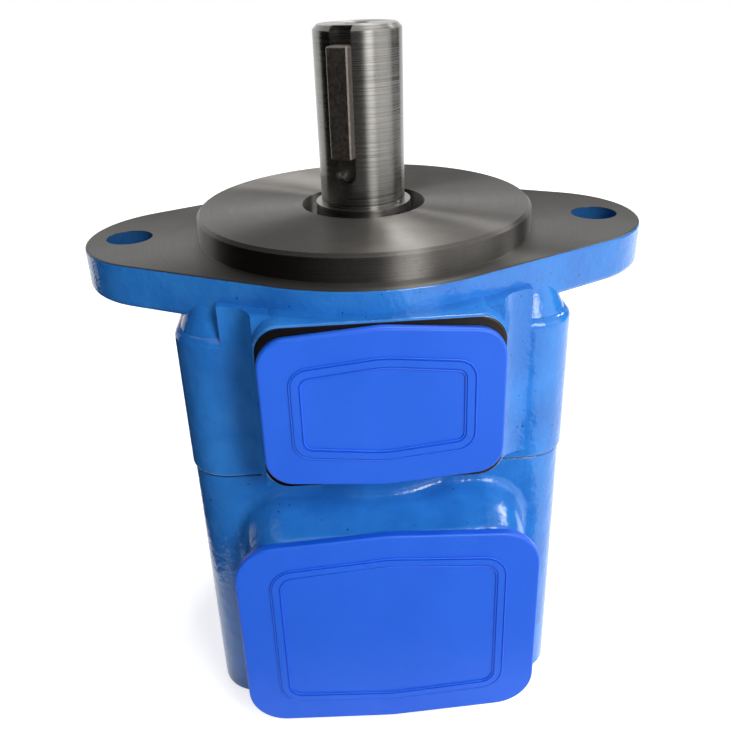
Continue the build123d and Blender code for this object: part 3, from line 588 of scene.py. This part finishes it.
def enamel_shader(finish):
    """Glossy sprayed enamel with cast lumps below and orange peel above, and painted shade on the
    walls of the bolt holes.
    """
    shade = blend(finish, ramp(finish, cloud(finish, 18.0, detail=3.0), ((0.35, 0.0), (0.7, 1.0))),
                  ENAMEL_DEEP, ENAMEL)
    grime = ramp(finish, cloud(finish, 7.0, detail=8.0, roughness=0.7), ((0.24, 0.5), (0.36, 0.0)))
    shade = blend(finish, grime, shade, ENAMEL_GRIMY)
    pores = ramp(finish, cloud(finish, 1.6, detail=1.0), ((0.215, 0.85), (0.235, 0.0)))
    shade = blend(finish, pores, shade, DIRT)
    x, y, z = place_values(finish)
    from_seam = sums(finish, "ABSOLUTE", beyond(finish, z, SEAM_LEVEL))
    shade = blend(finish, soft_step(finish, from_seam, *SEAM_DIRT), shade, DIRT)
    # Painted shade: the walls of the flange's bolt holes are darkened towards a deep blue,
    # standing in for the shade inside them.
    hole_shade_share = soft_step(finish, distance(finish, beyond_pair(finish, x, BOLT_HOLE_X), y),
                        *BOLT_HOLE_WALL)
    shade = blend(finish, sums(finish, "MULTIPLY", hole_shade_share, BOLT_HOLE_SHADE), shade,
                  BOLT_HOLE_PAINTED_SHADE)
    rough = ramp(finish, cloud(finish, 9.0, detail=4.0), ((0.3, 0.10), (0.7, 0.21)))
    lumps = bumps(finish, cloud(finish, 4.2, detail=3.0, roughness=0.5), 0.30)
    grain = bumps(finish, cloud(finish, 1.7, detail=3.0), 0.11, below=lumps)
    return shader(finish, shade, rough, grain, Specular_IOR_Level=0.42)


casting_finish = new_finish("sky_blue_enamel")
paint = enamel_shader(casting_finish)
iron = turned_iron_shader(casting_finish)
meet = add(casting_finish, "ShaderNodeMixShader")
join(casting_finish, bare_share(casting_finish), meet.inputs[0])
join(casting_finish, paint.outputs[0], meet.inputs[1])
join(casting_finish, iron.outputs[0], meet.inputs[2])
show(casting_finish, meet)
print("enamel ready")

# %% [markdown]
# ## Steel
# The shaft is turned and then ground, the key is plain dark bar, the screws are blackened, and the
# bearing's races are polished. They differ in tone, in how rough they are, and in the direction of
# their fine marks. One recipe with a few numbers covers them all.

# %% Steel finishes
ROUND_THE_SHAFT = (0.012, 0.012, 1.0)
EVEN = (1, 1, 1)


def steel(name, dark, light, rough_low, rough_high, grain_mm, turned=True, mark_depth_mm=0.0012):
    """Steel with fine marks round the shaft's axis, or even in all directions."""
    finish = new_finish(name)
    marks = cloud(finish, grain_mm, detail=5.0, stretch=ROUND_THE_SHAFT if turned else EVEN)
    smear = cloud(finish, 14.0, detail=4.0, stretch=(1, 1, 0.5))
    tone = ramp(finish, marks, ((0.3, dark), (0.7, light)))
    tone = blend(finish, ramp(finish, smear, ((0.45, 0.0), (0.8, 0.35))), tone,
                 tuple(v * 0.6 for v in dark))
    rough = ramp(finish, marks, ((0.3, rough_low), (0.7, rough_high)))
    normal = bumps(finish, marks, mark_depth_mm)
    if turned:
        return show(finish, turned_metal(finish, tone, rough, normal, streak=0.85))
    return show(finish, shader(finish, tone, rough, normal, metal=1.0))


turned_steel = steel("turned_shaft_steel", (0.17, 0.165, 0.155), (0.27, 0.262, 0.245),
                     0.24, 0.36, grain_mm=0.35)
key_steel = steel("dark_key_steel", (0.13, 0.112, 0.10), (0.22, 0.195, 0.175),
                  0.42, 0.6, grain_mm=1.2, turned=False)
ground_steel = steel("ground_steel", (0.34, 0.34, 0.35), (0.48, 0.48, 0.49),
                     0.2, 0.32, grain_mm=0.5, turned=False)
bearing_steel = steel("polished_bearing_steel", (0.46, 0.46, 0.47), (0.58, 0.58, 0.60),
                      0.10, 0.18, grain_mm=0.6)
black_steel = steel("blackened_steel", (0.028, 0.028, 0.032), (0.055, 0.055, 0.06),
                    0.32, 0.48, grain_mm=0.8, turned=False, mark_depth_mm=0.01)
print("steels:", [m.name for m in bpy.data.materials if "steel" in m.name])

# %% [markdown]
# ## Brass, bronze and bare castings
# The bearing's cage is pressed brass, dull from oil. The side plates are faced with bronze, and
# the two thick support plates are plain machined iron.

# %% Brass and bronze
def yellow_metal(name, dark, light, rough):
    """A yellow metal with darker oil stains and fine scratches."""
    finish = new_finish(name)
    stains = cloud(finish, 6.0, detail=5.0)
    tone = ramp(finish, stains, ((0.3, dark), (0.68, light)))
    scratches = cloud(finish, 0.4, detail=3.0, stretch=(0.2, 1, 1))
    roughs = ramp(finish, scratches, ((0.3, rough), (0.7, rough + 0.14)))
    return show(finish, shader(finish, tone, roughs, bumps(finish, scratches, 0.004), metal=1.0))


cage_brass = yellow_metal("cage_brass", (0.36, 0.24, 0.08), (0.62, 0.44, 0.17), 0.3)
plate_bronze = yellow_metal("side_plate_bronze", (0.30, 0.18, 0.075), (0.50, 0.33, 0.15), 0.26)
print("yellow metals ready")

# %% [markdown]
# ## Rubber and plastic
# Seals are matt black rubber. The port covers are moulded in a strong royal blue with a slight
# sheen, faint flow marks, and scuffs where they have been handled.

# %% Rubber, white plastic
def seal_rubber_finish():
    """Matt black rubber with a faint grey haze."""
    finish = new_finish("seal_rubber")
    haze = cloud(finish, 3.0, detail=6.0)
    tone = ramp(finish, haze, ((0.3, (0.018, 0.018, 0.018)), (0.7, (0.035, 0.034, 0.033))))
    rough = ramp(finish, haze, ((0.3, 0.5), (0.7, 0.68)))
    return show(finish, shader(finish, tone, rough, bumps(finish, cloud(finish, 0.5), 0.01)))


def white_plastic_finish():
    """Waxy off-white plastic."""
    finish = new_finish("backup_ring_plastic")
    haze = cloud(finish, 4.0, detail=4.0)
    tone = ramp(finish, haze, ((0.3, (0.74, 0.71, 0.64)), (0.7, (0.86, 0.84, 0.79))))
    return show(finish, shader(finish, tone, 0.42, bumps(finish, cloud(finish, 0.8), 0.006)))


seal_rubber = seal_rubber_finish()
backup_plastic = white_plastic_finish()
print("rubber and white plastic ready")

# %% Port cover plastic
COVER_BLUE = (0.004, 0.115, 0.76)
COVER_BLUE_PALER = (0.007, 0.128, 0.81)
SCUFF_BLUE = (0.06, 0.22, 0.96)


def cover_plastic_finish():
    """Moulded blue plastic with flow marks, scuffs and a slightly uneven front."""
    finish = new_finish("royal_blue_plastic")
    flow = cloud(finish, 30.0, detail=2.0, stretch=(1, 1, 0.5))
    tone = blend(finish, ramp(finish, flow, ((0.35, 0.0), (0.7, 1.0))), COVER_BLUE,
                 COVER_BLUE_PALER)
    scuffs = ramp(finish, cloud(finish, 2.5, detail=8.0, stretch=(1, 1, 0.25), roughness=0.75),
                  ((0.62, 0.0), (0.75, 0.25)))
    tone = blend(finish, scuffs, tone, SCUFF_BLUE)
    rough = ramp(finish, cloud(finish, 5.0, detail=5.0), ((0.3, 0.40), (0.7, 0.52)))
    skin = bumps(finish, cloud(finish, 0.7, detail=2.0), 0.012)
    dish = bumps(finish, cloud(finish, 26.0, detail=1.0), 0.5, below=skin)
    return show(finish, shader(finish, tone, rough, dish))


cover_plastic = cover_plastic_finish()
print("cover plastic ready")

# %% [markdown]
# ## Ribs round the covers
# The mould of each port cover leaves a band round the middle of its front, with a fine rounded rib
# beside both of its edges. A narrow groove is left between rib and band, and the rib catches the
# light. It is a thin tube, its back sunk into the cover, swept round the band's outline: a
# polygon with a low peak at top and bottom and rounded corners at the sides.

# %% Ribs
RIB_RADIUS = 0.0003
RIB_SIDES = 8
RIB_STAND = 0.00018
RIB_GAP = 0.0006
BAND_WIDTH = 0.0024
BAND_HEIGHT = 0.0005
COVER_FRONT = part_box("inlet_port_cap")[0][1] + BAND_HEIGHT
PEAK_RISE = 0.003
PEAK_ROUND = 0.04
ARC_STEPS = 8


def rounded_outline(width, height, corner):
    """Points round a six-sided outline, flat in X and Z, with all its corners rounded."""
    side = height / 2 - PEAK_RISE
    corners = [Vector(c) for c in ((-width / 2, side), (0, height / 2), (width / 2, side),
                                   (width / 2, -side), (0, -height / 2), (-width / 2, -side))]
    points = []
    for i, here in enumerate(corners):
        to_last = (corners[i - 1] - here).normalized()
        to_next = (corners[(i + 1) % len(corners)] - here).normalized()
        is_peak = here.x == 0
        radius = PEAK_ROUND if is_peak else corner
        half = to_last.angle(to_next) / 2
        middle = here + (to_last + to_next).normalized() * (radius / math.sin(half))
        start = here + to_last * (radius / math.tan(half)) - middle
        sweep = math.pi - 2 * half
        for step in range(ARC_STEPS + 1):
            points.append(middle + Matrix.Rotation(-sweep * step / ARC_STEPS, 2) @ start)
    return points


def rib(name, body, level, width, height, corner):
    """One closed rib on the front of a cover, its middle at a height level."""
    loop = rounded_outline(width, height, corner)
    bm = bmesh.new()
    rings = []
    for i, point in enumerate(loop):
        along = (loop[(i + 1) % len(loop)] - loop[i - 1]).normalized()
        outward = Vector((-along.y, along.x))
        ring = []
        for side in range(RIB_SIDES):
            turn = 2 * math.pi * side / RIB_SIDES
            spot = point + outward * (RIB_RADIUS * math.cos(turn))
            depth = COVER_FRONT - RIB_STAND + RIB_RADIUS * math.sin(turn)
            ring.append(bm.verts.new((spot.x, depth, level + spot.y)))
        rings.append(ring)
    for i, ring in enumerate(rings):
        after = rings[(i + 1) % len(rings)]
        for side in range(RIB_SIDES):
            next_side = (side + 1) % RIB_SIDES
            face = bm.faces.new((ring[side], ring[next_side], after[next_side], after[side]))
            face.smooth = True
    bmesh.ops.recalc_face_normals(bm, faces=bm.faces)
    mesh = bpy.data.meshes.new(name)
    bm.to_mesh(mesh)
    bm.free()
    mesh.materials.append(cover_plastic)
    piece = bpy.data.objects.new(name, mesh)
    bpy.context.scene.collection.objects.link(piece)
    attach(piece, body)


def cover_ribs(port, width, height, corner):
    """The outer and the inner rib of a cover's band, centred on the cover."""
    low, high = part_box(port + "_port_cap")
    level = (low[2] + high[2]) / 2
    rib(port + "_cover_outer_rib", port + "_cap", level, width + 2 * RIB_GAP, height + 2 * RIB_GAP,
        corner + RIB_GAP)
    inset = BAND_WIDTH + RIB_GAP
    rib(port + "_cover_inner_rib", port + "_cap", level, width - 2 * inset, height - 2 * inset,
        corner - inset)


cover_ribs("outlet", width=0.0590, height=0.0370, corner=0.006)
cover_ribs("inlet", width=0.0845, height=0.0680, corner=0.008)

# %% [markdown]
# ## Dress the solids
# Every solid keeps its own mesh. Its finish goes into its material slots, by the slot name that
# the engineering record gives each piece.

# %% Assign finishes
FINISH_OF_SLOT = {
    "cast_iron_enamel": casting_finish,
    "bare_cast_iron": turned_iron,
    "turned_steel": turned_steel,
    "key_steel": key_steel,
    "ground_steel": ground_steel,
    "bearing_steel": bearing_steel,
    "black_oxide_steel": black_steel,
    "cage_brass": cage_brass,
    "side_plate_bronze": plate_bronze,
    "seal_rubber": seal_rubber,
    "backup_plastic": backup_plastic,
    "blue_plastic": cover_plastic,
}
for part in frame["record"]["subparts"]:
    solid = bpy.data.objects[part["node"]]
    for slot in solid.material_slots:
        slot.material = FINISH_OF_SLOT[part["material_slot"]]

# %% [markdown]
# ## Picture settings
# The Standard view keeps colours as they are written.

bpy.context.scene.view_settings.view_transform = "Standard"
